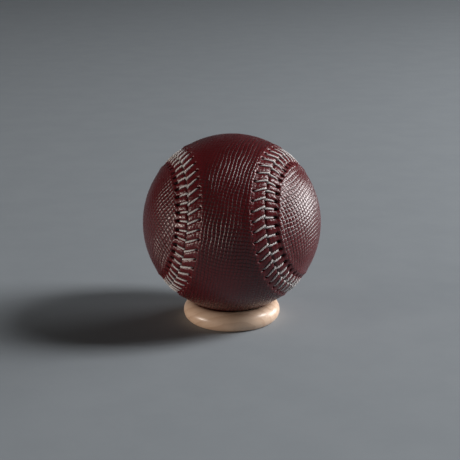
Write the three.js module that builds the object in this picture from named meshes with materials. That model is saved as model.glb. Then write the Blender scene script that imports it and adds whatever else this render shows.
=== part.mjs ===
// A leather baseball resting on a turned wooden ring.
// Millimetres, +Z up. The origin is the middle of the ring's underside, and the ball's front faces -Y.
// The ball is built as a real one is: a cork centre in two coats of rubber, four windings of yarn,
// and two leather panels like a figure eight, sewn together by one waxed thread with a needle on each end.
import * as THREE from 'three';

// The ball's layers, from the outside in. The first wool winding takes up what the others leave,
// as yarn is wound on until the ball has its size.
const BALL_D = 73.8; // over the plain leather, which is 9 1/8 inches round
const LEATHER_T = 1.3;
const COVER_GAP = 0.4; // the film of glue and the slack of the leather over the yarn
const COTTON_T = 0.5;
const WOOL_3_T = 2.0;
const WOOL_2_T = 1.6;
const RED_RUBBER_T = 2.3;
const BLACK_RUBBER_T = 3.8;
const CORK_D = 20.6;
const GASKET_T = 1.2;
const LAYER_GAP = 0.3;
const TAIL_ARC = 4; // degrees left open at the top of each winding, where the end of its yarn goes in

// The seam and its sewing
const SEAM_SWING = 0.668; // share of the slow wave in the seam's curve, the fast wave has the rest
const SEAM_FLATTEN = 0.804; // the curve is this much flatter than the one that lies on a ball by itself
const STITCHES_PER_QUARTER = 27; // the seam has four alike quarters, 108 double stitches in all
const THREAD_D = 0.9;
const THREAD_CLEAR = 0.3;
const THREAD_LIFT = 0.35; // between the yarn and the thread that runs under the leather
const HOLE_REACH = 4.2; // from the seam to the middle of a stitch hole, along the leather
const HOLE_MARGIN = 0.5; // the raised leather runs this far past the holes
const SEAM_SHOULDER = 3.4; // and falls to its plain height over this width
const STRAND_SPLIT = 1.85; // between the two strands that go down into the seam at one stitch
const STITCH_LEAD = 0.28; // share of a pitch by which the point of a V lies ahead of its holes
const STITCH_SLANT = 0.18; // share of a pitch added on a panel's waist and taken off on its lobes
const THREAD_START = 0.1; // place of the thread's middle under the seam, in stitches
const TAIL_DEPTH = 1.2; // the thread's two cut ends stop this deep in the seam

// How the ball lies: its front waist looks up and a little to the left
const WAIST_UP = 24.2;
const WAIST_LEFT = 8.0;
const WAIST_ROLL = 1.4;

// The wooden ring
const RING_D = 40.6;
const RING_STOCK_D = 8.2;
const RING_FOOT = 4.0; // width of the flat that it stands on
const SEAT_GAP = 0.3;

// Facets
const LAYER_SIDES = 12;
const LAYER_STEP = 30; // degrees of latitude
const PANEL_SPAN = 6; // longest facet across the plain leather
const THREAD_SIDES = 4;
const RING_SIDES = 36;
const RING_SECTION_SIDES = 12;

const ballR = BALL_D / 2;
const leatherIn = ballR - LEATHER_T;
const cottonOut = leatherIn - COVER_GAP;
const wool3Out = cottonOut - COTTON_T - LAYER_GAP;
const wool2Out = wool3Out - WOOL_3_T - LAYER_GAP;
const wool1Out = wool2Out - WOOL_2_T - LAYER_GAP;
const corkR = CORK_D / 2;
const blackIn = corkR + LAYER_GAP;
const blackOut = blackIn + BLACK_RUBBER_T;
const redIn = blackOut + LAYER_GAP;
const redOut = redIn + RED_RUBBER_T;

// The thread that runs under the leather lifts it along the seam
const stitches = 4 * STITCHES_PER_QUARTER;
const threadR = THREAD_D / 2;
const underR = cottonOut + THREAD_LIFT + threadR;
const seamLift = THREAD_LIFT + THREAD_D + THREAD_CLEAR - COVER_GAP;
const sewnR = ballR + seamLift;
const overR = sewnR + THREAD_CLEAR + threadR;
const holeSize = THREAD_D + 2 * THREAD_CLEAR;
const seamGap = THREAD_D + 2 * THREAD_CLEAR;
const crestReach = HOLE_REACH + holeSize / 2 + HOLE_MARGIN;
const shoulderReach = crestReach + SEAM_SHOULDER;

// The ball sinks into the ring until it lies on the round of the wood
const stockR = RING_STOCK_D / 2;
const ringMidR = RING_D / 2 - stockR;
const ringMidZ = Math.sqrt(stockR ** 2 - (RING_FOOT / 2) ** 2);
const ballZ = ringMidZ + Math.sqrt((ballR + SEAT_GAP + stockR) ** 2 - ringMidR ** 2);

const FRONT = 1;
const BACK = -1;

const leather = new THREE.MeshStandardMaterial({ color: 0x5a1b20, roughness: 0.5, metalness: 0 });
const waxedThread = new THREE.MeshStandardMaterial({ color: 0xd9d4cc, roughness: 0.7, metalness: 0 });
const maple = new THREE.MeshStandardMaterial({ color: 0xdcbc94, roughness: 0.45, metalness: 0 });
const cork = new THREE.MeshStandardMaterial({ color: 0xa9784d, roughness: 0.9, metalness: 0 });
const blackRubber = new THREE.MeshStandardMaterial({ color: 0x1c1b1b, roughness: 0.8, metalness: 0 });
const redRubber = new THREE.MeshStandardMaterial({ color: 0x9c2b25, roughness: 0.8, metalness: 0 });
const greyWool = new THREE.MeshStandardMaterial({ color: 0x8f8e8b, roughness: 1, metalness: 0 });
const whiteWool = new THREE.MeshStandardMaterial({ color: 0xe6e1d6, roughness: 1, metalness: 0 });
const cotton = new THREE.MeshStandardMaterial({ color: 0xf1ede4, roughness: 0.95, metalness: 0 });

function radians(degrees) {
  return degrees * Math.PI / 180;
}

function named(name, geometry, material) {
  const mesh = new THREE.Mesh(geometry, material);
  mesh.name = name;
  return mesh;
}

function solid(points, faces) {
  const geometry = new THREE.BufferGeometry();
  geometry.setAttribute('position', new THREE.Float32BufferAttribute(points.flatMap((p) => p.toArray()), 3));
  geometry.setIndex(faces.flat());
  geometry.computeVertexNormals();
  return geometry;
}

function revolve(profile, sides) {
  return new THREE.LatheGeometry(profile, sides).rotateX(Math.PI / 2);
}

// Points of a round profile from the bottom of a ball up to a latitude, on shared steps
// so that the facets of nested layers lie parallel
function profileUpTo(radius, latitude) {
  const points = [];
  for (let step = -90; step < latitude - 0.5; step += LAYER_STEP) {
    points.push(new THREE.Vector2(radius * Math.cos(radians(step)), radius * Math.sin(radians(step))));
  }
  points.push(new THREE.Vector2(radius * Math.cos(radians(latitude)), radius * Math.sin(radians(latitude))));
  return points;
}

function winding(outer, inner) {
  const top = 90 - TAIL_ARC;
  return revolve([...profileUpTo(outer, top), ...profileUpTo(inner, top).reverse()], LAYER_SIDES);
}

// The lower half of a shell, whose flat rim lies a given way under the middle
function halfShell(outer, inner, rimDrop) {
  const outerRim = -Math.asin(rimDrop / outer) * 180 / Math.PI;
  const innerRim = -Math.asin(rimDrop / inner) * 180 / Math.PI;
  return revolve([...profileUpTo(outer, outerRim), ...profileUpTo(inner, innerRim).reverse()], LAYER_SIDES);
}

function washer(outer, inner, thickness) {
  const half = thickness / 2;
  const profile = [[inner, -half], [outer, -half], [outer, half], [inner, half], [inner, -half]];
  return revolve(profile.map(([r, z]) => new THREE.Vector2(r, z)), LAYER_SIDES);
}

// A round section with a flat foot, swept round the ring
function turnedRing() {
  const profile = [];
  const footHalf = Math.asin(RING_FOOT / 2 / stockR);
  const sweep = 2 * Math.PI - 2 * footHalf;
  for (let i = 0; i <= RING_SECTION_SIDES; i += 1) {
    const angle = -Math.PI / 2 + footHalf + sweep * i / RING_SECTION_SIDES;
    profile.push(new THREE.Vector2(ringMidR + stockR * Math.cos(angle), ringMidZ + stockR * Math.sin(angle)));
  }
  profile.push(profile[0].clone());
  return revolve(profile, RING_SIDES);
}

// The seam's curve on a ball of radius 1. The front panel's waist is at +Z and the back panel's at -Z.
function seamCurve(t) {
  const fast = 1 - SEAM_SWING;
  const height = 2 * Math.sqrt(SEAM_SWING * fast) * SEAM_FLATTEN;
  const x = SEAM_SWING * Math.cos(t) + fast * Math.cos(3 * t);
  const y = SEAM_SWING * Math.sin(t) - fast * Math.sin(3 * t);
  return new THREE.Vector3(x, y, height * Math.sin(2 * t)).normalize();
}

// Lengths along the seam, so that the stitches are evenly spaced
const seamSteps = 4000;
const seamLengths = [0];
for (let i = 1; i <= seamSteps; i += 1) {
  const before = seamCurve(2 * Math.PI * (i - 1) / seamSteps);
  const here = seamCurve(2 * Math.PI * i / seamSteps);
  seamLengths.push(seamLengths[i - 1] + before.distanceTo(here));
}
const pitch = seamLengths[seamSteps] * ballR / stitches;

// The curve's parameter at a place counted in stitches from its start
function seamParameter(place) {
  const turns = Math.floor(place / stitches);
  const wanted = (place / stitches - turns) * seamLengths[seamSteps];
  let low = 0;
  let high = seamSteps;
  while (high - low > 1) {
    const middle = (low + high) >> 1;
    if (seamLengths[middle] <= wanted) low = middle;
    else high = middle;
  }
  const part = (wanted - seamLengths[low]) / (seamLengths[high] - seamLengths[low]);
  return 2 * Math.PI * ((low + part) / seamSteps + turns);
}

// Directions at a place on the ball: out of it, along the seam, and across it towards the front panel
function seamFrame(place, reach) {
  const t = seamParameter(place);
  const onSeam = seamCurve(t);
  const ahead = seamCurve(t + 1e-4).sub(seamCurve(t - 1e-4)).normalize();
  const aside = onSeam.clone().cross(ahead).normalize();
  const turn = reach / ballR;
  const out = onSeam.clone().multiplyScalar(Math.cos(turn)).addScaledVector(aside, Math.sin(turn));
  const across = aside.multiplyScalar(Math.cos(turn)).addScaledVector(onSeam, -Math.sin(turn));
  return { out, ahead, across };
}

function onBall(place, reach, radius) {
  return seamFrame(place, reach).out.multiplyScalar(radius);
}

// A stitch's hole on one panel, and the place where its strand goes down into the seam
function holePlace(stitch, side) {
  return stitch + 0.5 - side * STITCH_SLANT * Math.sin(2 * seamParameter(stitch + 0.5));
}

function divePlace(stitch, side) {
  return stitch + 0.5 + STITCH_LEAD + side * STRAND_SPLIT / 2 / pitch;
}

// One face of a panel: a row of cells along the seam, each with its square hole, then the shoulder,
// then plain leather in rungs from one side of the panel to the other
function panelFace(points, faces, side, depth, facesOut) {
  const add = (point) => points.push(point) - 1;
  const face = (a, b, c) => faces.push(facesOut === (side === FRONT) ? [a, b, c] : [a, c, b]);
  const edge = [];
  const crest = [];
  const rail = [];
  const holes = [];
  for (let k = 0; k < stitches; k += 1) {
    edge.push(add(onBall(k, side * seamGap / 2, sewnR - depth)));
    crest.push(add(onBall(k, side * crestReach, sewnR - depth)));
    rail.push(add(onBall(k, side * shoulderReach, ballR - depth)));
    const { out, ahead, across } = seamFrame(holePlace(k, side), side * HOLE_REACH);
    const middle = out.multiplyScalar(sewnR - depth);
    const half = holeSize / 2;
    const corners = [[-half, -half], [half, -half], [half, half], [-half, half]];
    holes.push(corners.map(([along, away]) => add(
      middle.clone().addScaledVector(ahead, along).addScaledVector(across, side * away),
    )));
  }
  for (let k = 0; k < stitches; k += 1) {
    const next = (k + 1) % stitches;
    const frame = [edge[k], edge[next], crest[next], crest[k]];
    for (let i = 0; i < 4; i += 1) {
      const j = (i + 1) % 4;
      face(frame[i], frame[j], holes[k][j]);
      face(frame[i], holes[k][j], holes[k][i]);
    }
    face(crest[k], crest[next], rail[next]);
    face(crest[k], rail[next], rail[k]);
  }
  // A rung joins a place on the shoulder to its mirror image on the panel's other side
  const fold = -side * STITCHES_PER_QUARTER;
  const at = (k) => rail[((k % stitches) + stitches) % stitches];
  const rung = (k) => {
    const from = points[at(k)];
    const to = points[at(fold - k)];
    const spans = Math.max(1, Math.round(from.angleTo(to) * ballR / PANEL_SPAN));
    const row = [at(k)];
    for (let i = 1; i < spans; i += 1) {
      const axis = from.clone().cross(to).normalize();
      row.push(add(from.clone().applyAxisAngle(axis, from.angleTo(to) * i / spans)));
    }
    if (at(fold - k) !== at(k)) row.push(at(fold - k));
    return row;
  };
  const first = Math.ceil(fold / 2);
  const last = Math.floor(fold / 2 + stitches / 2);
  let row = rung(first);
  for (let k = first + 1; k <= last; k += 1) {
    const next = rung(k);
    let i = 0;
    let j = 0;
    while (i < row.length - 1 || j < next.length - 1) {
      const stepRow = i < row.length - 1 ? (i + 1) / (row.length - 1) : Infinity;
      const stepNext = j < next.length - 1 ? (j + 1) / (next.length - 1) : Infinity;
      if (stepNext <= stepRow) {
        face(row[i], next[j], next[j + 1]);
        j += 1;
      } else {
        face(row[i], next[j], row[i + 1]);
        i += 1;
      }
    }
    row = next;
  }
  return { edge, holes };
}

// A panel of leather: its grain face, its flesh face, the walls of its holes and its cut edge
function coverPanel(side) {
  const points = [];
  const faces = [];
  const grain = panelFace(points, faces, side, 0, true);
  const flesh = panelFace(points, faces, side, LEATHER_T, false);
  const wall = (a, b, c, d) => {
    const quad = side === FRONT ? [a, b, c, d] : [b, a, d, c];
    faces.push([quad[0], quad[1], quad[2]], [quad[0], quad[2], quad[3]]);
  };
  for (let k = 0; k < stitches; k += 1) {
    const next = (k + 1) % stitches;
    wall(grain.edge[next], grain.edge[k], flesh.edge[k], flesh.edge[next]);
    for (let i = 0; i < 4; i += 1) {
      const j = (i + 1) % 4;
      wall(grain.holes[k][i], grain.holes[k][j], flesh.holes[k][j], flesh.holes[k][i]);
    }
  }
  return solid(points, faces);
}

// The way of one needle: up through a hole, over the leather to the seam, down between the panels,
// and under the other panel to its next hole
function needleWay(firstSide) {
  const way = [];
  for (let k = 0; k < stitches; k += 1) {
    const side = k % 2 === 0 ? firstSide : -firstSide;
    const hole = holePlace(k, side);
    const dive = divePlace(k, side);
    const bottom = k === stitches - 1 ? overR - TAIL_DEPTH : underR;
    way.push(onBall(hole, side * HOLE_REACH, underR));
    way.push(onBall(hole, side * HOLE_REACH, overR));
    way.push(onBall(dive, 0, overR));
    way.push(onBall(dive, 0, bottom));
  }
  return way;
}

// A tube along straight runs, mitred where they meet
function mitredTube(way, radius, sides) {
  const headings = way.slice(1).map((point, i) => point.clone().sub(way[i]).normalize());
  const square = new THREE.Vector3(headings[0].y, -headings[0].x, 0).normalize();
  const upright = headings[0].clone().cross(square);
  const points = [];
  const faces = [];
  for (let i = 0; i < sides; i += 1) {
    const angle = 2 * Math.PI * (i + 0.5) / sides;
    points.push(way[0].clone().addScaledVector(square, radius * Math.cos(angle))
      .addScaledVector(upright, radius * Math.sin(angle)));
  }
  for (let n = 1; n < way.length; n += 1) {
    const heading = headings[n - 1];
    const mitre = heading.clone().add(headings[Math.min(n, headings.length - 1)]).normalize();
    for (let i = 0; i < sides; i += 1) {
      const from = points[(n - 1) * sides + i];
      const run = way[n].clone().sub(from).dot(mitre) / heading.dot(mitre);
      points.push(from.clone().addScaledVector(heading, run));
    }
    for (let i = 0; i < sides; i += 1) {
      const j = (i + 1) % sides;
      const start = (n - 1) * sides;
      faces.push([start + i, start + j, start + sides + j], [start + i, start + sides + j, start + sides + i]);
    }
  }
  const end = (way.length - 1) * sides;
  for (let i = 1; i < sides - 1; i += 1) {
    faces.push([0, i + 1, i], [end, end + i, end + i + 1]);
  }
  return solid(points, faces);
}

// The least clear gap between two stretches of the thread, measured on points along it
function leastGap(way, diameter) {
  const spacing = 0.3;
  const apart = 3 * diameter;
  const cell = 2 * diameter;
  const cells = new Map();
  let walked = 0;
  let least = Infinity;
  for (let n = 1; n < way.length; n += 1) {
    const length = way[n].distanceTo(way[n - 1]);
    const steps = Math.ceil(length / spacing);
    for (let i = 0; i < steps; i += 1) {
      const point = way[n - 1].clone().lerp(way[n], i / steps);
      const along = walked + length * i / steps;
      const [cx, cy, cz] = point.toArray().map((value) => Math.floor(value / cell));
      for (let code = 0; code < 27; code += 1) {
        const key = `${cx + code % 3 - 1},${cy + Math.floor(code / 3) % 3 - 1},${cz + Math.floor(code / 9) - 1}`;
        for (const other of cells.get(key) ?? []) {
          if (along - other.along > apart) least = Math.min(least, point.distanceTo(other.point));
        }
      }
      const home = `${cx},${cy},${cz}`;
      if (!cells.has(home)) cells.set(home, []);
      cells.get(home).push({ point, along });
    }
    walked += length;
  }
  return { least: least - diameter, length: walked };
}

const threadWay = [
  ...needleWay(FRONT).reverse(),
  onBall(THREAD_START, 0, underR),
  ...needleWay(BACK),
];
const threadGap = leastGap(threadWay, THREAD_D);
console.log(`thread: ${threadGap.length.toFixed(0)} mm long, least gap to itself ${threadGap.least.toFixed(2)} mm`);

const pill = new THREE.Group();
const gasketDrop = GASKET_T / 2 + LAYER_GAP;
const blackUpper = named('black_rubber_shell_upper', halfShell(blackOut, blackIn, gasketDrop), blackRubber);
const redUpper = named('red_rubber_shell_upper', halfShell(redOut, redIn, LAYER_GAP / 2), redRubber);
blackUpper.rotation.x = Math.PI;
redUpper.rotation.x = Math.PI;
pill.add(
  named('cork_center', revolve(profileUpTo(corkR, 90), LAYER_SIDES), cork),
  named('black_rubber_shell_lower', halfShell(blackOut, blackIn, gasketDrop), blackRubber),
  blackUpper,
  named('red_rubber_gasket', washer(blackOut, blackIn, GASKET_T), redRubber),
  named('red_rubber_shell_lower', halfShell(redOut, redIn, LAYER_GAP / 2), redRubber),
  redUpper,
);

const yarn = new THREE.Group();
yarn.add(
  named('first_winding_grey_wool', winding(wool1Out, redOut + LAYER_GAP), greyWool),
  named('second_winding_white_wool', winding(wool2Out, wool2Out - WOOL_2_T), whiteWool),
  named('third_winding_grey_wool', winding(wool3Out, wool3Out - WOOL_3_T), greyWool),
  named('finishing_winding_cotton', winding(cottonOut, cottonOut - COTTON_T), cotton),
);

// The cover is modelled with its front waist up, then turned to look out along -Y
const cover = new THREE.Group();
cover.add(
  named('cover_panel_front', coverPanel(FRONT), leather),
  named('cover_panel_back', coverPanel(BACK), leather),
  named('stitch_thread', mitredTube(threadWay, threadR, THREAD_SIDES), waxedThread),
);
cover.rotation.z = radians(135 + WAIST_ROLL);
const lean = new THREE.Group();
lean.add(cover);
lean.rotation.x = radians(90 - WAIST_UP);

const ball = new THREE.Group();
ball.add(pill, yarn, lean);
ball.rotation.z = radians(-WAIST_LEFT);
ball.position.z = ballZ;

const part = new THREE.Group();
part.add(named('ring_stand', turnedRing(), maple), ball);

export default part;
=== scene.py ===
# A dark red leather baseball, sewn with pale waxed thread, at rest on a turned maple ring.

import math
import bpy
import numpy as np
from mathutils import Matrix, Vector


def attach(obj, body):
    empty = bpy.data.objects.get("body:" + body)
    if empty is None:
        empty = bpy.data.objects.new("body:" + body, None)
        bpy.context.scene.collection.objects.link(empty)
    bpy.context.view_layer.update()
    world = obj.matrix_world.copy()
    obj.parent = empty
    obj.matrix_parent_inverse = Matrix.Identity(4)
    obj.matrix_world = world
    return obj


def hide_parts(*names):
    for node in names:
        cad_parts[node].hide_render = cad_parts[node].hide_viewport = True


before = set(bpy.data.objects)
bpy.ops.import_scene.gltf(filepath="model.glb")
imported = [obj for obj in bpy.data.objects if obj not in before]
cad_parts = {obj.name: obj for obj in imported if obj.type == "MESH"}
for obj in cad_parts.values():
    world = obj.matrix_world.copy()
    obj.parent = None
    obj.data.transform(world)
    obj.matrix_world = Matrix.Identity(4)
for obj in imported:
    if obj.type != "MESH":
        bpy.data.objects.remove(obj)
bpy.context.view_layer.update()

# Sizes of the ball and the ring, in millimetres unless a comment says otherwise

MM = 0.001                # in metres

BALL_R = 36.9             # over the plain leather
LEATHER = 1.1             # thickness of the hide
SKIVED = 0.8              # and along the seam, where it is pared
SKIVED_TO = (6.0, 9.0)    # the paring runs out between these two reaches from the seam
WINDING_R = 35.2          # the cotton winding under the cover
WINDING_GAP = 0.1         # least room between the winding and the hide

RING_MID_R = 16.2         # middle of the ring's round stock
RING_STOCK_R = 4.1
RING_FOOT = 4.0           # width of the flat that it stands on
RING_WORN = 0.25          # how far the edges of the flat are worn round
RING_FACES = (144, 48)    # faces round the ring, and round its stock
SEAT_GAP = 0.3            # between the ball and the wood
RING_MID_Z = math.sqrt(RING_STOCK_R ** 2 - (RING_FOOT / 2) ** 2)
BALL_Z = RING_MID_Z + math.sqrt((BALL_R + RING_STOCK_R + SEAT_GAP) ** 2 - RING_MID_R ** 2)

UPRIGHT = 135             # degrees that first bring the front panel's length upright
WAIST_UP = 24.2           # degrees that the front panel's waist looks up,
WAIST_LEFT = 8.0          # to the left,
WAIST_ROLL = 1.4          # and is rolled over

# Sizes of the seam

FRONT, BACK = 1, -1       # the two panels, and the two sides of the seam
STITCHES = 108
SEAM_SWING = 0.668        # how far the seam swings from side to side, on a ball of radius 1
SEAM_FLATTEN = 0.804      # and how wide its lobes are
SEAM_POINTS = 20001       # points at which the seam's length is measured
SEAM_STEP = 1e-4          # step of the curve's angle that shows which way the seam runs
STITCH_STEP = 0.02        # step in stitches that shows how wide a stitch is

EDGE = 0.05               # half the gap between the two edges
ROLL_WIDTH = 0.40         # over this width each edge rolls down into the seam,
ROLL_DEPTH = {FRONT: 0.30, BACK: 0.62}    # to this depth: the front panel's edge stands a little proud
BAND_SINK = 0.12          # the sewn band is drawn down by the thread
BAND_END = (3.6, 6.0)     # and comes up again between these two reaches
PUFF = 0.18               # the leather puffs up just outside the holes,
PUFF_REACH = 6.6          # most of all here,
PUFF_WIDTH = 1.6          # over this width,
PUFF_END = (7.8, 9.2)     # and runs out between these two reaches

ARM_REACH = {FRONT: 4.5, BACK: 3.75}      # from the seam to where a stitch comes up
HOLE_REACH = {FRONT: 4.95, BACK: 4.60}    # and to the middle of its hole
HOLE_LONG = {FRONT: 0.70, BACK: 1.02}     # half sizes of a hole, stretched by the thread
HOLE_WIDE = {FRONT: 0.50, BACK: 0.62}
HOLE_SINK = 0.42          # depth of the sunk leather at a hole,
SINK_RIM = 0.8            # full up to this share of the hole's size
SINK_FADE = 0.45          # and fading over this share of it
LIP = 0.20                # height of the lip at a hole's outer end,
LIP_PAST = 0.65           # whose middle lies this far past that end
LIP_LONG = 0.5            # and whose sizes are these, across the seam
LIP_WIDE = 0.8            # and along it
DENT = 0.52               # depth to which the thread presses into the leather
DENT_WIDTH = 0.55
PUCKER = 0.13             # height of the leather between the stitches, which rises
PUCKER_OFF = (0.45, 1.5)  # between these two distances from the thread
PUCKER_IN = (0.3, 1.3)    # and these two reaches from the seam,
PUCKER_OUT = (3.2, 4.6)   # and falls between these two
DRAWN_IN = (8.5, 4.5)     # the dye turns redder between these two reaches, towards the seam,
EDGE_HIGHLIGHT = (0.30, 0.08)   # and a pale highlight is painted on the cut edge of the hide between these two

STITCH_LEAD = 0.28        # a stitch dives this far ahead of its holes, in stitches
STITCH_SLANT = 0.18       # the holes shift along the lobes, in stitches
STRAND_SPLIT = 0.12       # the two arms of a stitch dive this far to either side, in stitches
HAND_ALONG = 0.028        # unevenness of hand sewing: of the holes' places, in stitches,
HAND_REACH = 0.10         # of their reach
HAND_DIVE = 0.022         # and of where a stitch dives, in stitches
FAR = 99.0                # more than any distance to a stitch, to start from

# Sizes of the embossing

HATCH_PITCH = {FRONT: 1.45, BACK: 1.75}   # between two lines
HATCH_DEPTH = 0.15
HATCH_TURN = {FRONT: 12, BACK: 57}        # degrees that the lines lean from the panel's length
HATCH_GROOVE = 0.64       # a groove reaches to where the sine of its line is this large
HATCH_FIRM = 0.88         # share of the full depth to which the lines are pressed on the whole
HATCH_BAND = 0.35         # and the share of that which is left in the sewn band
FIELD_FROM = (4.6, 6.2)   # the band turns into the field between these two reaches
FIELD_WIDEST = 0.95       # sine at which the hide is cut off when it is laid flat

# Waves that make the lines uneven: scales in millimetres, and sizes
STRAY_KINDS = ((5.0, 0.20), (2.2, 0.05), (1.0, 0.025), (0.5, 0.018))
FIRM_KINDS = ((8.0, 0.06), (3.4, 0.05))
WAVES_OF_A_KIND = 3       # of each scale, for each of the two sets of lines

FAINT = 0.70              # share of the embossing that is missing in the middle of a faint patch
FAINT_PATCHES = (         # the way to each patch from the ball's middle, in the shared frame, and its reach
    ((-0.413, -0.299, 0.860), 10.0),
    ((-0.034, -0.854, -0.519), 11.0),
    ((0.773, -0.259, 0.579), 8.0),
    ((-0.863, -0.123, 0.490), 10.0),
    ((0.754, -0.522, -0.397), 7.0),
    ((0.100, 0.780, 0.618), 9.0),
    ((-0.520, 0.650, -0.554), 10.0))

# Faces of a panel

COLUMNS = 1296            # twelve columns of faces to a stitch
ROWS = 24                 # rows of faces in the border
BORDER = 9.4              # width of the sewn border of a panel
SPAN = 108                # faces across the embossed field of a panel
ALONG = COLUMNS // 2 - SPAN    # and along it
TIP_ROUND = 90            # rungs over which the field's ends take the round of the tips
BACKING = 12000           # triangles left on the inner side of a panel, which nobody sees
MERGE = 0.02              # points of the border and the field that are closer than this become one
LEAST_NEAR = 0.05         # nearness to a hole's middle below which its rim isn't stretched further
CREASE = 55               # degrees past which a panel's edge stays sharp
FIRM_NAMES = ("pressed_along", "pressed_across")    # attributes that say how firmly lines are pressed

# Sizes of the thread; a thickness is a share of its full radius

THREAD_R = 0.39           # the full radius
THREAD_SIDES = 10
KNOT_PARTS = 3            # lengths from one knot of its way to the next
UNDER_R = 35.62           # the thread's way under the cover
UNDER_THICK = 0.76        # where it is drawn thin
THREAD_MIDDLE = 0.10      # where on the seam the middle of the thread lies, in stitches

HOLE_KNOTS = (            # in a hole: reach past the arm's end, radius on the ball, thickness
    (0.30, UNDER_R, UNDER_THICK),
    (0.14, BALL_R - 0.75, 0.62))
ARM_KNOTS = (             # from the hole to the seam: share of the way, height over leather, thickness
    (0.06, -0.26, 0.66),
    (0.26, -0.06, 0.88),
    (0.58, -0.02, 1.00),
    (0.82, 0.05, 1.02))
DIVE_KNOTS = (            # down in the seam: stitches ahead, reach, radius on the ball, thickness
    (0.0, 0.22, BALL_R - 0.25, 1.0),
    (0.04, -0.20, BALL_R - 0.95, 0.84),
    (0.22, -2.2, UNDER_R, UNDER_THICK))

# Sizes of the studio, in metres and degrees

FLOOR_SIZE = 6.0
FLOOR_RISE = 2.0          # height to which the paper goes up behind
FLOOR_CURVE = 0.8         # how far from the corner it starts to curve,
FLOOR_PARTS = 16          # and in how many parts
CAMERA_LEFT = 4.0         # the camera stands this far to the left
CAMERA_UP = 16.2          # and looks down this steeply,
CAMERA_FAR = 0.5          # at this distance
AIM_LEFT = 0.75           # millimetres that it aims to the left of the ball's middle
AIM_DOWN = 3.16           # and below it
LENS = 94.15              # in millimetres too, as the sensor is
SENSOR = 36.0
NEAREST = 0.01            # nothing is drawn that is nearer than this


# The seam on the ball

def seam_curve(t):
    """The seam's way round a ball of radius 1."""
    quick = 1 - SEAM_SWING
    rise = 2 * math.sqrt(SEAM_SWING * quick) * SEAM_FLATTEN
    way = np.stack([SEAM_SWING * np.cos(t) + quick * np.cos(3 * t),
                    SEAM_SWING * np.sin(t) - quick * np.sin(3 * t),
                    rise * np.sin(2 * t)], -1)
    return way / np.linalg.norm(way, axis=-1, keepdims=True)


def measure_seam():
    """Angles of the curve all round, and the seam's length up to each of them."""
    turns = np.linspace(0, 2 * math.pi, SEAM_POINTS)
    steps = np.linalg.norm(np.diff(seam_curve(turns), axis=0), axis=1)
    return turns, np.concatenate([[0.0], np.cumsum(steps)])


SEAM_TURNS, SEAM_RUN = measure_seam()


def seam_turn(place):
    """The curve's angle at a place counted in stitches."""
    laps = np.floor(np.asarray(place) / STITCHES)
    run = (np.asarray(place) / STITCHES - laps) * SEAM_RUN[-1]
    return np.interp(run, SEAM_RUN, SEAM_TURNS) + 2 * math.pi * laps


def seam_way(place, reach):
    """Direction from the ball's middle to a point beside the seam; the front panel is on the plus side."""
    t = seam_turn(place)
    out = seam_curve(t)
    ahead = seam_curve(t + SEAM_STEP) - seam_curve(t - SEAM_STEP)
    ahead /= np.linalg.norm(ahead, axis=-1, keepdims=True)
    aside = np.cross(out, ahead)
    lean = (np.asarray(reach) / BALL_R)[..., None]
    return out * np.cos(lean) + aside * np.sin(lean)


def stitch_width(place, reach):
    """Millimetres along the ball to one stitch, at some reach from the seam."""
    step = seam_way(place + STITCH_STEP, reach) - seam_way(place - STITCH_STEP, reach)
    return np.linalg.norm(step, axis=-1) * BALL_R / (2 * STITCH_STEP)


waist_turn = (Matrix.Rotation(math.radians(-WAIST_LEFT), 3, "Z")
              @ Matrix.Rotation(math.radians(90 - WAIST_UP), 3, "X")
              @ Matrix.Rotation(math.radians(UPRIGHT + WAIST_ROLL), 3, "Z"))
BALL_TURN = np.array([list(row) for row in waist_turn])
BALL_MIDDLE = np.array([0.0, 0.0, BALL_Z])


def to_frame(points):
    """From the ball's own millimetres to the shared frame in metres."""
    return (points @ BALL_TURN.T + BALL_MIDDLE) * MM


def to_ball(points):
    """From the shared frame in metres back to the ball's own millimetres."""
    return (points / MM - BALL_MIDDLE) @ BALL_TURN


# Where the stitches go

hand = np.random.default_rng(seed=108)    # the unevenness of hand sewing, the same each time
middles = np.arange(STITCHES) + 0.5
hole_place, hole_reach, arm_reach, dive_place = {}, {}, {}, {}
for side in (FRONT, BACK):
    slant = STITCH_SLANT * np.sin(2 * seam_turn(middles))
    hole_place[side] = middles - side * slant + hand.normal(0, HAND_ALONG, STITCHES)
    shift = hand.normal(0, HAND_REACH, STITCHES)
    hole_reach[side] = HOLE_REACH[side] + shift
    arm_reach[side] = ARM_REACH[side] + shift
    dive_place[side] = (middles + STITCH_LEAD + side * STRAND_SPLIT
                        + hand.normal(0, HAND_DIVE, STITCHES))


def ease(start, end, x):
    """0 up to start and 1 from end on, with a smooth rise between them."""
    f = np.clip((x - start) / (end - start), 0, 1)
    return f * f * (3 - 2 * f)


def plain_height(reach, side):
    """The leather's height over the ball along the seam, before the thread is drawn tight."""
    puff = PUFF * np.exp(-((reach - PUFF_REACH) / PUFF_WIDTH) ** 2) * (1 - ease(*PUFF_END, reach))
    sink = BAND_SINK * (1 - ease(*BAND_END, reach))
    return puff - sink - ROLL_DEPTH[side] * np.exp(-(reach / ROLL_WIDTH) ** 2)


def near_stitches(place, reach, side):
    """Each of the four nearest stitches: its number, millimetres along from its hole, its width."""
    width = stitch_width(place, side * reach)
    first = np.floor(place).astype(int)
    for step in (-2, -1, 0, 1):
        k = (first + step) % STITCHES
        along = place - hole_place[side][k]
        along = (along + STITCHES / 2) % STITCHES - STITCHES / 2
        yield k, along * width, width


def hole_nearness(place, reach, side):
    """1 on the rim of the nearest hole, less inside it; and that hole's number."""
    best = np.full(place.shape, FAR)
    which = np.zeros(place.shape, int)
    for k, along, _ in near_stitches(place, reach, side):
        near = np.hypot(along / HOLE_WIDE[side], (reach - hole_reach[side][k]) / HOLE_LONG[side])
        which = np.where(near < best, k, which)
        best = np.minimum(near, best)
    return best, which


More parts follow.
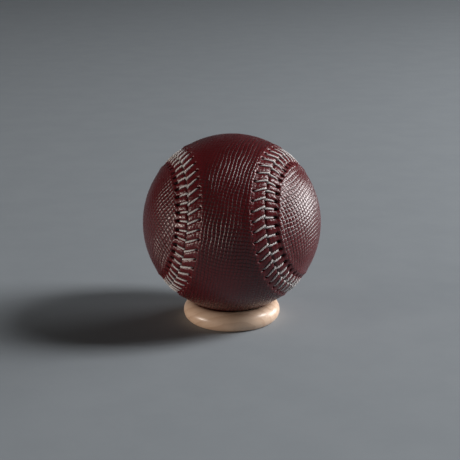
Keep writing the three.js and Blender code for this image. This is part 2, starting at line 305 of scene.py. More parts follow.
def hide_height(place, reach, side):
    """The finished leather's height: rolled edge, dents under the thread, sunk holes with a lip."""
    from_arm = np.full(place.shape, FAR)
    sink = np.zeros(place.shape)
    lip = np.zeros(place.shape)
    for k, along, width in near_stitches(place, reach, side):
        arm_x = (dive_place[side][k] - hole_place[side][k]) * width
        arm_y = -arm_reach[side][k]
        past_arm = reach - arm_reach[side][k]
        f = np.clip((along * arm_x + past_arm * arm_y) / (arm_x ** 2 + arm_y ** 2), 0, 1)
        from_arm = np.minimum(from_arm, np.hypot(along - f * arm_x, past_arm - f * arm_y))
        past_hole = reach - hole_reach[side][k]
        rim = np.hypot(along / HOLE_WIDE[side], past_hole / HOLE_LONG[side])
        sink = np.maximum(sink, HOLE_SINK * np.exp(-(np.maximum(rim - SINK_RIM, 0) / SINK_FADE) ** 2))
        tip = np.hypot(along / LIP_WIDE, (past_hole - HOLE_LONG[side] - LIP_PAST) / LIP_LONG)
        lip = np.maximum(lip, LIP * np.exp(-tip ** 2))
    dent = DENT * np.exp(-(from_arm / DENT_WIDTH) ** 2)
    pucker = PUCKER * ease(*PUCKER_OFF, from_arm) * ease(*PUCKER_IN, reach) * (1 - ease(*PUCKER_OUT, reach))
    return plain_height(reach, side) - np.maximum(dent, sink) + pucker + lip


# The embossing

stray = np.random.default_rng(seed=27)    # its unevenness, the same each time


def random_waves(kinds):
    """Waves over the ball from their scales and sizes: set of lines, wave, start and size."""
    return [(axis, stray.normal(size=3) / scale, stray.uniform(0, 2 * math.pi), size)
            for scale, size in kinds for axis in (0, 1) for _ in range(WAVES_OF_A_KIND)]


STRAY_WAVES = random_waves(STRAY_KINDS)    # lines stray from their way by these, in lines,
FIRM_WAVES = random_waves(FIRM_KINDS)      # and are pressed more or less firmly by these


def hide_lines(way, side):
    """The hide laid flat, counted in lines of each of the two sets of the hatch."""
    waist = np.array([0, 0, float(side)])
    long = np.array([1.0, -side, 0]) / math.sqrt(2)
    across = np.clip(way @ np.cross(waist, long), -FIELD_WIDEST, FIELD_WIDEST)
    east = np.arctan2(way @ long, way @ waist)
    north = np.arctanh(across)
    lean = math.radians(HATCH_TURN[side])
    cos, sin = math.cos(lean), math.sin(lean)
    laid = np.stack([east * cos - north * sin, east * sin + north * cos], -1) * BALL_R / HATCH_PITCH[side]
    for axis, wave, start, size in STRAY_WAVES:
        laid[..., axis] += size * np.sin(way @ wave * BALL_R + start)
    return laid


def press_of_lines(way):
    """How firmly each of the two sets of lines is pressed in, from place to place."""
    firm = np.full(way.shape[:-1] + (2,), HATCH_FIRM)
    for axis, wave, start, size in FIRM_WAVES:
        firm[..., axis] += size * np.sin(way @ wave * BALL_R + start)
    for patch, size in FAINT_PATCHES:
        off = np.linalg.norm(way - np.array(patch) @ BALL_TURN, axis=-1) * BALL_R
        firm *= 1 - FAINT * np.exp(-(off / size) ** 2)[..., None]
    return np.clip(firm, 0, 1)


def emboss_depth(way, reach, side):
    """Depth of the embossing in millimetres; it is faint in the sewn band."""
    cut = 1 - ease(0, HATCH_GROOVE, np.abs(np.sin(math.pi * hide_lines(way, side))))
    pressed = (cut * press_of_lines(way)).max(-1)
    return HATCH_DEPTH * pressed * (HATCH_BAND + (1 - HATCH_BAND) * ease(*FIELD_FROM, reach))


# Small helpers for modelling

def deselect():
    """Leaves edit mode, and leaves nothing selected."""
    if bpy.context.object and bpy.context.object.mode != "OBJECT":
        bpy.ops.object.mode_set(mode="OBJECT")
    bpy.ops.object.select_all(action="DESELECT")


def points_of(piece):
    """The places of a piece's points."""
    flat = np.empty(len(piece.data.vertices) * 3)
    piece.data.vertices.foreach_get("co", flat)
    return flat.reshape(-1, 3)


def set_points(piece, points):
    """Moves a piece's points to these places."""
    piece.data.vertices.foreach_set("co", np.ascontiguousarray(points, float).ravel())
    piece.data.update()


def corners_of(piece):
    """The number of the point at each corner of each face."""
    corner = np.empty(len(piece.data.loops), int)
    piece.data.loops.foreach_get("vertex_index", corner)
    return corner


def edit_selected(piece, faces=None, verts=None):
    """Goes into edit mode with only these faces or vertices selected."""
    mesh = piece.data
    no_faces = np.zeros(len(mesh.polygons), bool)
    no_edges = np.zeros(len(mesh.edges), bool)
    no_verts = np.zeros(len(mesh.vertices), bool)
    mesh.polygons.foreach_set("select", no_faces if faces is None else faces)
    mesh.edges.foreach_set("select", no_edges)
    mesh.vertices.foreach_set("select", no_verts if verts is None else verts)
    bpy.context.tool_settings.mesh_select_mode = (faces is None, False, faces is not None)
    bpy.ops.object.mode_set(mode="EDIT")


def give_attribute(piece, name, per_point):
    """Keeps one number for each point on the piece."""
    layer = piece.data.attributes.new(name, "FLOAT", "POINT")
    layer.data.foreach_set("value", np.ascontiguousarray(per_point, np.float32))


def give_uv(piece, name, per_corner):
    """Gives the piece a UV map."""
    layer = piece.data.uv_layers.new(name=name)
    layer.data.foreach_set("uv", np.ascontiguousarray(per_corner, np.float32).ravel())


# Small helpers for materials

def new_material(name):
    """A material, its tree of nodes, its shader and the Object coordinates that patterns read."""
    material = bpy.data.materials.new(name)
    material.use_nodes = True
    tree = material.node_tree
    place = tree.nodes.new("ShaderNodeTexCoord").outputs["Object"]
    return material, tree, tree.nodes["Principled BSDF"], place


def new_group(name, inputs, outputs):
    """A shader node group with named sockets: inputs are (name, kind, default)."""
    tree = bpy.data.node_groups.new(name, "ShaderNodeTree")
    for label, kind, value in inputs:
        socket = tree.interface.new_socket(label, in_out="INPUT", socket_type=kind)
        if value is not None:
            socket.default_value = value
    for label, kind in outputs:
        tree.interface.new_socket(label, in_out="OUTPUT", socket_type=kind)
    return tree, tree.nodes.new("NodeGroupInput"), tree.nodes.new("NodeGroupOutput")


def feed(tree, socket, value):
    """Wires a socket to another one, or sets it to a plain value."""
    if isinstance(value, bpy.types.NodeSocket):
        tree.links.new(value, socket)
    else:
        socket.default_value = value


def node(tree, kind, settings=None, **values):
    """Adds a node with its properties and feeds its sockets; _0 is its first socket, and so on."""
    made = tree.nodes.new(kind)
    for key, value in (settings or {}).items():
        setattr(made, key, value)
    for key, value in values.items():
        socket = int(key[1:]) if key.startswith("_") else key.replace("_", " ")
        feed(tree, made.inputs[socket], value)
    return made


def use_group(tree, group, **values):
    """Places a shared effect in a material, with the material's own values."""
    return node(tree, "ShaderNodeGroup", {"node_tree": group}, **values)


def sums(tree, operation, a, b=0.0, clamp=False):
    """Any sum of two values."""
    settings = {"operation": operation, "use_clamp": clamp}
    return node(tree, "ShaderNodeMath", settings, _0=a, _1=b).outputs[0]


def plus(tree, a, b):
    return sums(tree, "ADD", a, b)


def times(tree, a, b):
    return sums(tree, "MULTIPLY", a, b)


def wave_of(tree, run):
    """0 at each whole number of the run and 1 halfway between."""
    return sums(tree, "ABSOLUTE", sums(tree, "SINE", times(tree, run, math.pi)))


def spread(tree, value, low, high, start=0.0, end=1.0):
    """Maps low..high to start..end, smoothly."""
    made = node(tree, "ShaderNodeMapRange", {"interpolation_type": "SMOOTHSTEP"},
                _0=value, _1=low, _2=high, _3=start, _4=end)
    return made.outputs[0]


def uneven(tree, tone, low, high):
    """A value from low to high that follows the fine part of an uneven tone."""
    return spread(tree, tone.outputs["Fine"], 0.2, 0.8, low, high)


def blend_colours(tree, share, first, second):
    """Mixes two colours, which are sockets 6 and 7 of a Mix node; its output 2 is the result."""
    made = node(tree, "ShaderNodeMix", {"data_type": "RGBA"}, _0=share, _6=first, _7=second)
    return made.outputs[2]


def dress(tree, shader, colour, rough, height, depth, strength=1.0):
    """Wires a finish to its shader: colour, roughness, and bumps of some depth in millimetres."""
    bump = node(tree, "ShaderNodeBump", Strength=strength, Distance=depth * MM, Height=height)
    tree.links.new(colour, shader.inputs["Base Color"])
    tree.links.new(rough, shader.inputs["Roughness"])
    tree.links.new(bump.outputs[0], shader.inputs["Normal"])


# Effects that several materials share

def make_mottle_group():
    """Cloudy unevenness of dye, wax or wood: a mask from 0 to 1, and a finer noise."""
    tree, given, result = new_group(
        "uneven_tone",
        [("Place", "NodeSocketVector", None), ("Size", "NodeSocketFloat", 100.0)],
        [("Mask", "NodeSocketFloat"), ("Fine", "NodeSocketFloat")])
    broad = node(tree, "ShaderNodeTexNoise", Vector=given.outputs["Place"], Scale=given.outputs["Size"],
                 Detail=4.0, Roughness=0.6)
    finer = times(tree, given.outputs["Size"], 9.0)
    fine = node(tree, "ShaderNodeTexNoise", Vector=given.outputs["Place"], Scale=finer, Detail=3.0,
                Roughness=0.55)
    tree.links.new(spread(tree, broad.outputs[0], 0.32, 0.68), result.inputs["Mask"])
    tree.links.new(fine.outputs[0], result.inputs["Fine"])
    return tree


def make_yarn_group():
    """Yarn wound round a ball in crossing passes: strand height and a shade for each pass."""
    tree, given, result = new_group(
        "wound_yarn",
        [("Place", "NodeSocketVector", None), ("Strands", "NodeSocketFloat", 900.0)],
        [("Height", "NodeSocketFloat"), ("Shade", "NodeSocketFloat")])
    passes = node(tree, "ShaderNodeTexVoronoi", Vector=given.outputs["Place"], Scale=130.0)
    lean = node(tree, "ShaderNodeVectorMath", {"operation": "SUBTRACT"}, _0=passes.outputs["Color"],
                _1=(0.5, 0.5, 0.5))
    turned = node(tree, "ShaderNodeVectorRotate", Vector=given.outputs["Place"], Axis=lean.outputs[0],
                  Angle=2.2)
    parts = node(tree, "ShaderNodeSeparateXYZ", Vector=turned.outputs[0])
    strand = wave_of(tree, times(tree, parts.outputs[0], given.outputs["Strands"]))
    tree.links.new(sums(tree, "POWER", strand, 0.6), result.inputs["Height"])
    tree.links.new(passes.outputs["Distance"], result.inputs["Shade"])
    return tree


def make_moulded_group():
    """Moulded rubber: a dull skin with fine pits and a bloom."""
    tree, given, result = new_group(
        "moulded_skin",
        [("Place", "NodeSocketVector", None), ("Size", "NodeSocketFloat", 500.0)],
        [("Pits", "NodeSocketFloat"), ("Bloom", "NodeSocketFloat")])
    grain = node(tree, "ShaderNodeTexNoise", Vector=given.outputs["Place"], Scale=given.outputs["Size"],
                 Detail=5.0)
    cloud = node(tree, "ShaderNodeTexNoise", Vector=given.outputs["Place"], Scale=90.0, Detail=2.0)
    tree.links.new(grain.outputs[0], result.inputs["Pits"])
    tree.links.new(spread(tree, cloud.outputs[0], 0.35, 0.7), result.inputs["Bloom"])
    return tree


uneven_tone = make_mottle_group()
wound_yarn = make_yarn_group()
moulded_skin = make_moulded_group()


# The materials

def embossed_leather():
    """Dark red hide: cross-hatched in the field, smooth and redder where it is drawn to the seam."""
    deep_red = (0.070, 0.0055, 0.0072, 1)
    bright_red = (0.098, 0.0078, 0.0103, 1)
    drawn_red = (0.172, 0.0128, 0.0175, 1)
    # rubbed wear on the ridges, with a painted highlight there too
    rubbed_and_highlight_red = (0.176, 0.0195, 0.0240, 1)
    # painted shade for the grooves of the embossing
    groove_painted_shade = (0.011, 0.0020, 0.0024, 1)
    # a pale painted highlight for the cut edge at the seam
    edge_highlight_colour = (0.46, 0.24, 0.22, 1)

    material, tree, shader, place = new_material("embossed_leather")
    hide = node(tree, "ShaderNodeUVMap", {"uv_map": "hide"}).outputs[0]
    reach = node(tree, "ShaderNodeAttribute", {"attribute_name": "seam_reach"}).outputs["Fac"]
    tone = use_group(tree, uneven_tone, Place=place, Size=55.0)

    lines = node(tree, "ShaderNodeSeparateXYZ", Vector=hide)
    cut = []
    for axis, label in enumerate(FIRM_NAMES):
        pressed = node(tree, "ShaderNodeAttribute", {"attribute_name": label}).outputs["Fac"]
        line = spread(tree, wave_of(tree, lines.outputs[axis]), 0.0, 0.55, 1.0, 0.0)
        cut.append(times(tree, line, pressed))
    field = spread(tree, reach, *FIELD_FROM, 0.45, 1.0)
    strength = spread(tree, tone.outputs["Fine"], 0.25, 0.75, 0.75, 1.1)
    groove = sums(tree, "MAXIMUM", *cut)
    groove = times(tree, times(tree, groove, field), strength)

    dye = blend_colours(tree, tone.outputs["Mask"], deep_red, bright_red)
    drawn = times(tree, spread(tree, reach, *DRAWN_IN), 0.45)
    dye = blend_colours(tree, drawn, dye, drawn_red)
    # The embossed field away from the grooves is lighter: rubbed wear, and partly a painted highlight on
    # the ridges.
    rubbed = times(tree, sums(tree, "SUBTRACT", field, groove, clamp=True), 0.20)
    dye = blend_colours(tree, rubbed, dye, rubbed_and_highlight_red)
    # Painted shade: the grooves of the embossing are dyed nearly black, standing in for the shade that
    # falls in them.
    dye = blend_colours(tree, times(tree, groove, 0.92), dye, groove_painted_shade)
    # Painted highlight: a pale line along the cut edge of the hide at the seam, where a lit edge would
    # catch the light.
    edge_highlight = times(tree, spread(tree, reach, *EDGE_HIGHLIGHT), 0.6)
    dye = blend_colours(tree, edge_highlight, dye, edge_highlight_colour)

    rough = plus(tree, uneven(tree, tone, 0.22, 0.31), times(tree, groove, 0.22))
    shader.inputs["Specular IOR Level"].default_value = 0.52

    pores = node(tree, "ShaderNodeTexNoise", Vector=place, Scale=2600.0, Detail=3.0)
    creases = node(tree, "ShaderNodeTexVoronoi", {"feature": "DISTANCE_TO_EDGE"}, Vector=place, Scale=900.0)
    crease = times(tree, spread(tree, creases.outputs["Distance"], 0.0, 0.22), 0.22)
    smooth = sums(tree, "SUBTRACT", 1.0, field)
    height = plus(tree, times(tree, groove, -1.0), times(tree, pores.outputs[0], 0.30))
    height = plus(tree, height, times(tree, crease, smooth))
    dress(tree, shader, dye, rough, height, depth=0.09)
    return material


def waxed_thread():
    """Off-white twisted thread, with shade painted between its plies, and a dull wax shine."""
    cream = (0.79, 0.735, 0.715, 1)
    white = (0.87, 0.83, 0.81, 1)
    ply_shade = (0.36, 0.28, 0.26, 1)

    material, tree, shader, place = new_material("waxed_thread")
    length = node(tree, "ShaderNodeUVMap", {"uv_map": "length"}).outputs[0]
    tone = use_group(tree, uneven_tone, Place=place, Size=160.0)
    parts = node(tree, "ShaderNodeSeparateXYZ", Vector=length)
    lay = plus(tree, times(tree, parts.outputs[0], 0.85), times(tree, parts.outputs[1], 3.0))
    ply = wave_of(tree, lay)
    colour = blend_colours(tree, tone.outputs["Mask"], cream, white)
    # Painted shade: the thread is darker in the hollows between its plies.
    colour = blend_colours(tree, spread(tree, ply, 0.0, 0.45, 0.45, 0.0), colour, ply_shade)
    height = plus(tree, ply, times(tree, tone.outputs["Fine"], 0.4))
    dress(tree, shader, colour, uneven(tree, tone, 0.35, 0.55), height, depth=0.20)
    return material


def turned_maple():
    """Pale maple, rubbed smooth: faint growth rings, flecks along the grain and fine marks of turning."""
    pale = (0.75, 0.520, 0.368, 1)
    palest = (0.81, 0.585, 0.428, 1)
    late_wood = (0.48, 0.270, 0.155, 1)
    fleck = (0.59, 0.365, 0.230, 1)

    material, tree, shader, place = new_material("turned_maple")
    tone = use_group(tree, uneven_tone, Place=place, Size=70.0)
    log = node(tree, "ShaderNodeMapping", Vector=place, Rotation=(0.3, 0.35, 0.7),
               Location=(0.0, 0.024, 0.018))
    rings = {"wave_type": "RINGS", "rings_direction": "X", "wave_profile": "SAW"}
    growth = node(tree, "ShaderNodeTexWave", rings, Vector=log.outputs[0], Scale=85.0, Distortion=2.6,
                  Detail=3.0, Detail_Scale=1.0).outputs["Fac"]
    late = times(tree, spread(tree, growth, 0.45, 0.95), spread(tree, growth, 1.0, 0.95))
    grain = node(tree, "ShaderNodeMapping", Vector=log.outputs[0], Scale=(0.12, 1.0, 1.0))
    fibre = node(tree, "ShaderNodeTexNoise", Vector=grain.outputs[0], Scale=1900.0, Detail=3.0).outputs[0]
    wood = blend_colours(tree, tone.outputs["Mask"], pale, palest)
    wood = blend_colours(tree, times(tree, late, 0.30), wood, late_wood)
    wood = blend_colours(tree, spread(tree, fibre, 0.55, 0.72, 0.0, 0.35), wood, fleck)

    parts = node(tree, "ShaderNodeSeparateXYZ", Vector=place)
    squares = [sums(tree, "POWER", parts.outputs[axis], 2.0) for axis in (0, 1)]
    radius = sums(tree, "SQRT", plus(tree, *squares))
    turning = sums(tree, "SINE", times(tree, plus(tree, radius, parts.outputs[2]), 9000.0))
    height = plus(tree, times(tree, turning, 0.12), fibre)
    dress(tree, shader, wood, uneven(tree, tone, 0.26, 0.40), height, depth=0.05, strength=0.35)
    return material


def yarn_material(name, dark, light, strands):
    """Wound yarn with this many strands to the metre."""
    material, tree, shader, place = new_material(name)
    yarn = use_group(tree, wound_yarn, Place=place, Strands=strands)
    tone = use_group(tree, uneven_tone, Place=place, Size=240.0)
    # Painted shade: the yarn is darker in the hollows between its strands and lighter on their crests.
    colour = blend_colours(tree, yarn.outputs["Height"], dark, light)
    colour = blend_colours(tree, times(tree, tone.outputs["Mask"], 0.3), colour, dark)
    height = plus(tree, yarn.outputs["Height"], times(tree, yarn.outputs["Shade"], 0.8))
    dress(tree, shader, colour, uneven(tree, tone, 0.75, 0.95), height, depth=0.3, strength=0.9)
    return material


def rubber_material(name, dark, bloom):
    """Moulded rubber with a dull bloom."""
    material, tree, shader, place = new_material(name)
    skin = use_group(tree, moulded_skin, Place=place, Size=700.0)
    pits = skin.outputs["Pits"]
    colour = blend_colours(tree, skin.outputs["Bloom"], dark, bloom)
    dress(tree, shader, colour, spread(tree, pits, 0.3, 0.7, 0.55, 0.75), pits, depth=0.08, strength=0.4)
    return material


def ground_cork():
    """Crumbs of cork in two browns, with dark rubber between them."""
    dark_crumb = (0.22, 0.11, 0.05, 1)
    light_crumb = (0.42, 0.25, 0.12, 1)
    binder = (0.05, 0.03, 0.02, 1)
    crumb_scale = 650.0

    material, tree, shader, place = new_material("ground_cork")
    tone = use_group(tree, uneven_tone, Place=place, Size=300.0)
    crumbs = node(tree, "ShaderNodeTexVoronoi", Vector=place, Scale=crumb_scale)
    joints = node(tree, "ShaderNodeTexVoronoi", {"feature": "DISTANCE_TO_EDGE"}, Vector=place,
                  Scale=crumb_scale).outputs["Distance"]
    shade = node(tree, "ShaderNodeSeparateXYZ", Vector=crumbs.outputs["Color"]).outputs[0]
    colour = blend_colours(tree, shade, dark_crumb, light_crumb)
    colour = blend_colours(tree, spread(tree, joints, 0.12, 0.0), colour, binder)
    dress(tree, shader, colour, uneven(tree, tone, 0.7, 0.9), joints, depth=0.2, strength=0.6)
    return material


def studio_paper():
    """Plain grey paper, nearly without shine."""
    grey = (0.300, 0.326, 0.352, 1)
    lighter_grey = (0.312, 0.338, 0.364, 1)
    material, tree, shader, place = new_material("studio_paper")
    tone = use_group(tree, uneven_tone, Place=place, Size=40.0)
    colour = blend_colours(tree, tone.outputs["Mask"], grey, lighter_grey)
    tree.links.new(colour, shader.inputs["Base Color"])
    tree.links.new(uneven(tree, tone, 0.8, 0.9), shader.inputs["Roughness"])
    shader.inputs["Specular IOR Level"].default_value = 0.05
    return material


# The ring

def turned_ring():
    """A ring of round stock with a flat turned on its underside."""
    below = 1e-7    # metres; all that is lower is pressed flat
    flattest_corner = math.radians(18)
    round_ring, round_stock = RING_FACES
    deselect()
    bpy.ops.mesh.primitive_torus_add(location=(0, 0, RING_MID_Z * MM), major_segments=round_ring,
                                     minor_segments=round_stock, major_radius=RING_MID_R * MM,
                                     minor_radius=RING_STOCK_R * MM, generate_uvs=False)
    ring = bpy.context.object
    ring.name = "turned_ring"
    bpy.ops.object.transform_apply(location=True)
    edit_selected(ring, verts=points_of(ring)[:, 2] < below)
    bpy.ops.transform.resize(value=(1, 1, 0), center_override=(0, 0, 0))
    bpy.ops.object.mode_set(mode="OBJECT")
    bpy.ops.object.modifier_add(type="BEVEL")
    worn = ring.modifiers[-1]
    worn.width = RING_WORN * MM
    worn.segments = 2
    worn.limit_method = "ANGLE"
    worn.angle_limit = flattest_corner
    bpy.ops.object.modifier_apply(modifier=worn.name)
    bpy.ops.object.shade_smooth()
    return ring


# The leather cover

def sewn_border(side):
    """The strip of a panel along the seam, with its rolled edge, dents and open holes."""
    bpy.ops.mesh.primitive_grid_add(x_subdivisions=COLUMNS, y_subdivisions=ROWS, size=1, calc_uvs=False)
    border = bpy.context.object
    flat = points_of(border) + 0.5    # from 0 to 1 along the seam and away from it
    place = flat[:, 0] * STITCHES
    reach = EDGE + flat[:, 1] * (BORDER - EDGE)

    corners = np.array([face.vertices[:] for face in border.data.polygons])
    nearness, _ = hole_nearness(place[corners].mean(1), reach[corners].mean(1), side)
    gone = nearness < 1
    in_hole = np.zeros(len(flat), bool)
    in_hole[corners[gone].ravel()] = True
    kept = np.zeros(len(flat), bool)
    kept[corners[~gone].ravel()] = True
    rim = in_hole & kept
    near, which = hole_nearness(place, reach, side)
    middle = hole_reach[side][which]
    along = (place - hole_place[side][which] + STITCHES / 2) % STITCHES - STITCHES / 2
    fit = np.where(rim, 1 / np.maximum(near, LEAST_NEAR), 1.0)
    place = np.where(rim, place - along + along * fit, place)
    reach = np.where(rim, middle + (reach - middle) * fit, reach)

    way = seam_way(place, side * reach)
    height = hide_height(place, reach, side) - emboss_depth(way, reach, side)
    set_points(border, to_frame(way * (BALL_R + height)[:, None]))
    give_attribute(border, "seam_reach", reach)
    edit_selected(border, faces=gone)
    bpy.ops.mesh.delete(type="FACE")
    bpy.ops.object.mode_set(mode="OBJECT")
    return border


def embossed_field(side):
    """The middle of a panel, in rungs between its two rails and round its two tips."""
    bpy.ops.mesh.primitive_grid_add(x_subdivisions=ALONG, y_subdivisions=SPAN, size=1, calc_uvs=False)
    field = bpy.context.object
    flat = points_of(field) + 0.5    # from 0 to 1 along the panel and across it
    number = np.round(flat[:, 0] * ALONG)
    v = flat[:, 1]
    tip = -side * COLUMNS / 8    # the middle of one tip is an eighth of the way round the seam
    first, last = tip + SPAN / 2, tip - SPAN / 2

    def rail(column):
        return seam_way(column * STITCHES / COLUMNS, np.full(np.shape(column), side * BORDER))

    def rung(j):
        left, right = rail(first + j), rail(last - j)
        return left + (right - left) * v[:, None]

    start, end = np.zeros(len(v)), np.full(len(v), float(ALONG))
    round_start = rail(first - v * SPAN) - rung(start)
    round_end = rail(first + ALONG + v * SPAN) - rung(end)
    way = rung(number)
    way = way + round_start * (1 - ease(0, TIP_ROUND, number))[:, None]
    way = way + round_end * (1 - ease(0, TIP_ROUND, ALONG - number))[:, None]
    way /= np.linalg.norm(way, axis=1, keepdims=True)
    reach = np.full(len(v), BORDER)
    set_points(field, to_frame(way * (BALL_R - emboss_depth(way, reach, side))[:, None]))
    give_attribute(field, "seam_reach", reach)
    return field


def thin_backing(panel, inner):
    """Leaves only a few triangles on the panel's inner side, away from its edge and holes."""
    corner = corners_of(panel)
    count = np.empty(len(panel.data.polygons), int)
    panel.data.polygons.foreach_get("loop_total", count)
    starts = np.concatenate([[0], np.cumsum(count)[:-1]])
    behind = np.add.reduceat(inner[corner].astype(int), starts)    # inner corners of each face
    wall = (behind > 0) & (behind < count)    # faces of the cut edge and of the holes
    free = inner.copy()
    free[corner[np.repeat(wall, count)]] = False
    group = panel.vertex_groups.new(name="backing")
    group.add(np.flatnonzero(free).tolist(), 1.0, "REPLACE")
    triangles = count - 2
    whole = triangles.sum()
    hidden = triangles[behind == count].sum()
    bpy.ops.object.modifier_add(type="DECIMATE")
    thin = panel.modifiers[-1]
    thin.ratio = (whole - hidden + BACKING) / whole
    thin.vertex_group = group.name
    bpy.ops.object.modifier_apply(modifier=thin.name)
    panel.vertex_groups.clear()


def give_thickness(panel, side):
    """Gives the hide its inner side, pared along the seam and clear of the winding."""
    bpy.ops.object.modifier_add(type="SOLIDIFY")
    wall = panel.modifiers[-1]
    wall.thickness = LEATHER * MM
    wall.offset = -1
    bpy.ops.object.modifier_apply(modifier=wall.name)
    skins = to_ball(points_of(panel)).reshape(2, -1, 3)
    radius = np.linalg.norm(skins, axis=2)
    outer = int(radius[1].mean() > radius[0].mean())
    reach = np.empty(radius.size, np.float32)
    panel.data.attributes["seam_reach"].data.foreach_get("value", reach)
    reach = reach.reshape(2, -1)[outer]
    hide = SKIVED + (LEATHER - SKIVED) * ease(*SKIVED_TO, reach)
    under = np.maximum(BALL_R + plain_height(reach, side) - hide, WINDING_R + WINDING_GAP)
    skins[1 - outer] = skins[outer] * (under / radius[outer])[:, None]
    set_points(panel, to_frame(skins.reshape(-1, 3)))
    inner = np.zeros(radius.shape, bool)
    inner[1 - outer] = True
    thin_backing(panel, inner.ravel())


def mark_hide(panel, side):
    """Marks the embossing on a panel for its material: the lines, and how firmly they are pressed."""
    way = to_ball(points_of(panel))
    way /= np.linalg.norm(way, axis=1, keepdims=True)
    give_uv(panel, "hide", hide_lines(way, side)[corners_of(panel)])
    firm = press_of_lines(way)
    for axis, label in enumerate(FIRM_NAMES):
        give_attribute(panel, label, firm[:, axis])


def cover_panel(name, side):
    """One of the two panels of the cover, from its border and its field."""
    deselect()
    border = sewn_border(side)
    deselect()
    embossed_field(side)
    border.select_set(True)
    bpy.ops.object.join()
    panel = bpy.context.object
    panel.name = name
    bpy.ops.object.mode_set(mode="EDIT")
    bpy.ops.mesh.select_all(action="SELECT")
    bpy.ops.mesh.remove_doubles(threshold=MERGE * MM)
    if side == BACK:
        bpy.ops.mesh.flip_normals()
    bpy.ops.object.mode_set(mode="OBJECT")
    give_thickness(panel, side)
    mark_hide(panel, side)
    bpy.ops.object.shade_smooth_by_angle(angle=math.radians(CREASE))
    return panel


# The thread

def smooth_run(knots, parts):
    """A smooth line through the knots, with this many parts from one to the next."""
    before, after = knots[:1] * 2 - knots[1:2], knots[-1:] * 2 - knots[-2:-1]
    row = np.concatenate([before, knots, after])
    a, b, c, d = row[:-3], row[1:-2], row[2:-1], row[3:]
    run = []
    for i in range(parts):
        f = i / parts
        run.append(0.5 * (2 * b + (c - a) * f + (2 * a - 5 * b + 4 * c - d) * f ** 2
                          + (3 * b - a - 3 * c + d) * f ** 3))
    return np.concatenate([np.stack(run, 1).reshape(-1, knots.shape[1]), knots[-1:]])


def needle_way(first):
    """One needle's way round: up a hole, over to the seam, down, and under to the next hole."""
    knots = []
    side = first
    for k in range(STITCHES):
        hole, reach, dive = hole_place[side][k], arm_reach[side][k], dive_place[side][k]
        for past, radius, thick in HOLE_KNOTS:
            knots.append((hole, side * (reach + past), radius, thick))
        for share, lift, thick in ARM_KNOTS:
            away = reach * (1 - share)
            radius = BALL_R + plain_height(np.array(away), side) + lift
            knots.append((hole + (dive - hole) * share, side * away, radius, thick))
        for ahead, away, radius, thick in DIVE_KNOTS:
            knots.append((dive + ahead, side * away, radius, thick))
        side = -side
    return knots


def thread_rings(points, thick):
    """Rings round the thread's line, each turned as little as can be from the one before."""
    ahead = np.gradient(points, axis=0)
    ahead /= np.linalg.norm(ahead, axis=1, keepdims=True)
    around = np.arange(THREAD_SIDES) * 2 * math.pi / THREAD_SIDES
    up = np.cross(ahead[0], [0.0, 0.0, 1.0])
    rings = np.empty((len(points), THREAD_SIDES, 3))
    for i in range(len(points)):
        up = up - ahead[i] * (up @ ahead[i])
        up /= np.linalg.norm(up)
        beside = np.cross(ahead[i], up)
        rings[i] = points[i] + thick[i] * (np.cos(around)[:, None] * up + np.sin(around)[:, None] * beside)
    return rings


def stitch_thread():
    """The one thread that sews the cover, with a needle on each end."""
    middle = [(THREAD_MIDDLE, 0.0, UNDER_R, UNDER_THICK)]
    knots = np.array(needle_way(BACK)[::-1] + middle + needle_way(FRONT), float)
    line = smooth_run(knots, KNOT_PARTS)
    points = seam_way(line[:, 0], line[:, 1]) * line[:, 2:3]
    rings = thread_rings(points, line[:, 3] * THREAD_R)
    length = np.concatenate([[0], np.cumsum(np.linalg.norm(np.diff(points, axis=0), axis=1))])

    index = np.arange(len(points) * THREAD_SIDES).reshape(-1, THREAD_SIDES)
    low, high = index[:-1], index[1:]
    walls = np.stack([low, np.roll(low, -1, 1), np.roll(high, -1, 1), high], -1).reshape(-1, 4)
    faces = walls.tolist() + [index[0, ::-1].tolist(), index[-1].tolist()]
    mesh = bpy.data.meshes.new("stitching")
    mesh.from_pydata(to_frame(rings.reshape(-1, 3)).tolist(), [], faces)
    thread = bpy.data.objects.new("stitching", mesh)
    bpy.context.scene.collection.objects.link(thread)

    # Round the thread the last face of each ring ends at a full turn, not at none
    corner = corners_of(thread)
    turn = (corner % THREAD_SIDES) / THREAD_SIDES
    number = np.arange(len(corner))
    closing = np.isin(number % 4, (1, 2)) & (turn == 0) & (number < len(walls) * 4)
    turn = np.where(closing, 1.0, turn)
    give_uv(thread, "length", np.stack([length[corner // THREAD_SIDES], turn], 1))
    deselect()
    bpy.context.view_layer.objects.active = thread
    thread.select_set(True)
    bpy.ops.object.shade_smooth()
    return thread


# Floor, light and camera

def studio_floor():
    """A sheet of paper that lies on the table and curves up behind."""
    deselect()
    bpy.ops.mesh.primitive_plane_add(size=FLOOR_SIZE, location=(0, 0, 0))
    floor = bpy.context.object
    floor.name = "paper_floor"
    edit_selected(floor, verts=points_of(floor)[:, 1] > 0)
    bpy.ops.mesh.extrude_region_move(TRANSFORM_OT_translate={"value": (0, 0, FLOOR_RISE)})
    bpy.ops.object.mode_set(mode="OBJECT")
    bpy.ops.object.modifier_add(type="BEVEL")
    curve = floor.modifiers[-1]
    curve.width = FLOOR_CURVE
    curve.segments = FLOOR_PARTS
    bpy.ops.object.modifier_apply(modifier=curve.name)
    bpy.ops.object.shade_smooth()
    floor.data.materials.append(studio_paper())


def way_round(azimuth, elevation):
    """Direction from the ball: azimuth 0 is the viewer's side, 90 the right."""
    a, e = math.radians(azimuth), math.radians(elevation)
    return Vector((math.sin(a) * math.cos(e), -math.cos(a) * math.cos(e), math.sin(e)))


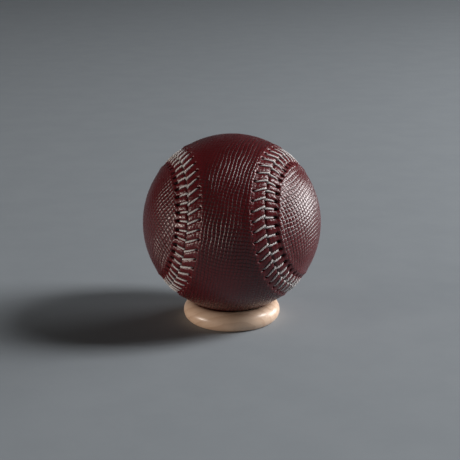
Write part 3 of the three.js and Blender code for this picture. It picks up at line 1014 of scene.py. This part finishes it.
def soft_light(name, azimuth, elevation, distance, size, power, colour=(1.0, 1.0, 1.0)):
    """A soft lamp that faces the ball."""
    way = way_round(azimuth, elevation)
    deselect()
    bpy.ops.object.light_add(type="AREA", location=Vector(BALL_MIDDLE * MM) + way * distance)
    lamp = bpy.context.object
    lamp.name = name
    lamp.data.name = name
    lamp.data.shape = "RECTANGLE"
    lamp.data.size, lamp.data.size_y = size
    lamp.data.energy = power
    lamp.data.color = colour
    lamp.visible_camera = False
    lamp.rotation_euler = (-way).to_track_quat("-Z", "Y").to_euler()


def place_camera():
    """Half a metre from the ball, looking down on it a little; the ball is a little above the middle."""
    middle = Vector(BALL_MIDDLE * MM)
    back = way_round(-CAMERA_LEFT, CAMERA_UP)
    right = way_round(90 - CAMERA_LEFT, 0)
    up = back.cross(right)
    deselect()
    bpy.ops.object.camera_add(location=middle + back * CAMERA_FAR)
    camera = bpy.context.object
    aim = middle - right * AIM_LEFT * MM - up * AIM_DOWN * MM
    camera.rotation_euler = (aim - camera.location).to_track_quat("-Z", "Y").to_euler()
    camera.data.sensor_width = SENSOR
    camera.data.lens = LENS
    camera.data.clip_start = NEAREST
    bpy.context.scene.camera = camera


def light_room():
    """Two windows on the right, a warmer glow of the room on the left, and next to no light all round."""
    world = bpy.data.worlds.new("studio")
    bpy.context.scene.world = world
    world.use_nodes = True
    sky = world.node_tree.nodes["Background"]
    sky.inputs["Color"].default_value = (0.95, 0.98, 1.0, 1)
    sky.inputs["Strength"].default_value = 0.015
    soft_light("high_window", azimuth=88, elevation=37, distance=1.5, size=(0.41, 0.62), power=19.0)
    soft_light("low_window", azimuth=110, elevation=8, distance=2.6, size=(1.35, 0.78), power=54.0)
    soft_light("room", azimuth=-77, elevation=3.5, distance=2.4, size=(0.75, 0.26), power=28.5,
               colour=(1.0, 0.91, 0.82))


# Put together

place_camera()
light_room()
studio_floor()

ring = turned_ring()
front = cover_panel("front_leather", FRONT)
back = cover_panel("back_leather", BACK)
thread = stitch_thread()

leather = embossed_leather()
for piece, material, node_name, slot, body in (
        (ring, turned_maple(), "ring_stand", "maple", "stand"),
        (front, leather, "cover_panel_front", "leather", "ball"),
        (back, leather, "cover_panel_back", "leather", "ball"),
        (thread, waxed_thread(), "stitch_thread", "waxed_thread", "ball")):
    piece.data.materials.clear()
    piece.data.materials.append(material)
    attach(piece, body)
    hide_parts(node_name)

# The pieces inside the cover keep their solids and get a finish by how their names begin

black_rubber = rubber_material("black_rubber", (0.008, 0.008, 0.008, 1), (0.022, 0.022, 0.021, 1))
red_rubber = rubber_material("red_rubber", (0.17, 0.016, 0.012, 1), (0.25, 0.035, 0.026, 1))
grey_wool = yarn_material("grey_wool", (0.10, 0.096, 0.092, 1), (0.26, 0.25, 0.24, 1), 700.0)
white_wool = yarn_material("white_wool", (0.42, 0.40, 0.34, 1), (0.74, 0.71, 0.63, 1), 900.0)
fine_cotton = yarn_material("fine_cotton", (0.52, 0.49, 0.43, 1), (0.84, 0.80, 0.73, 1), 2200.0)
inside = {
    "cork_center": ground_cork(),
    "black_rubber_shell": black_rubber,
    "red_rubber": red_rubber,
    "first_winding": grey_wool,
    "second_winding": white_wool,
    "third_winding": grey_wool,
    "finishing_winding": fine_cotton}
for name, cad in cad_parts.items():
    for beginning, material in inside.items():
        if name.startswith(beginning):
            for slot in cad.material_slots:
                slot.material = material

bpy.context.scene.view_settings.view_transform = "Standard"
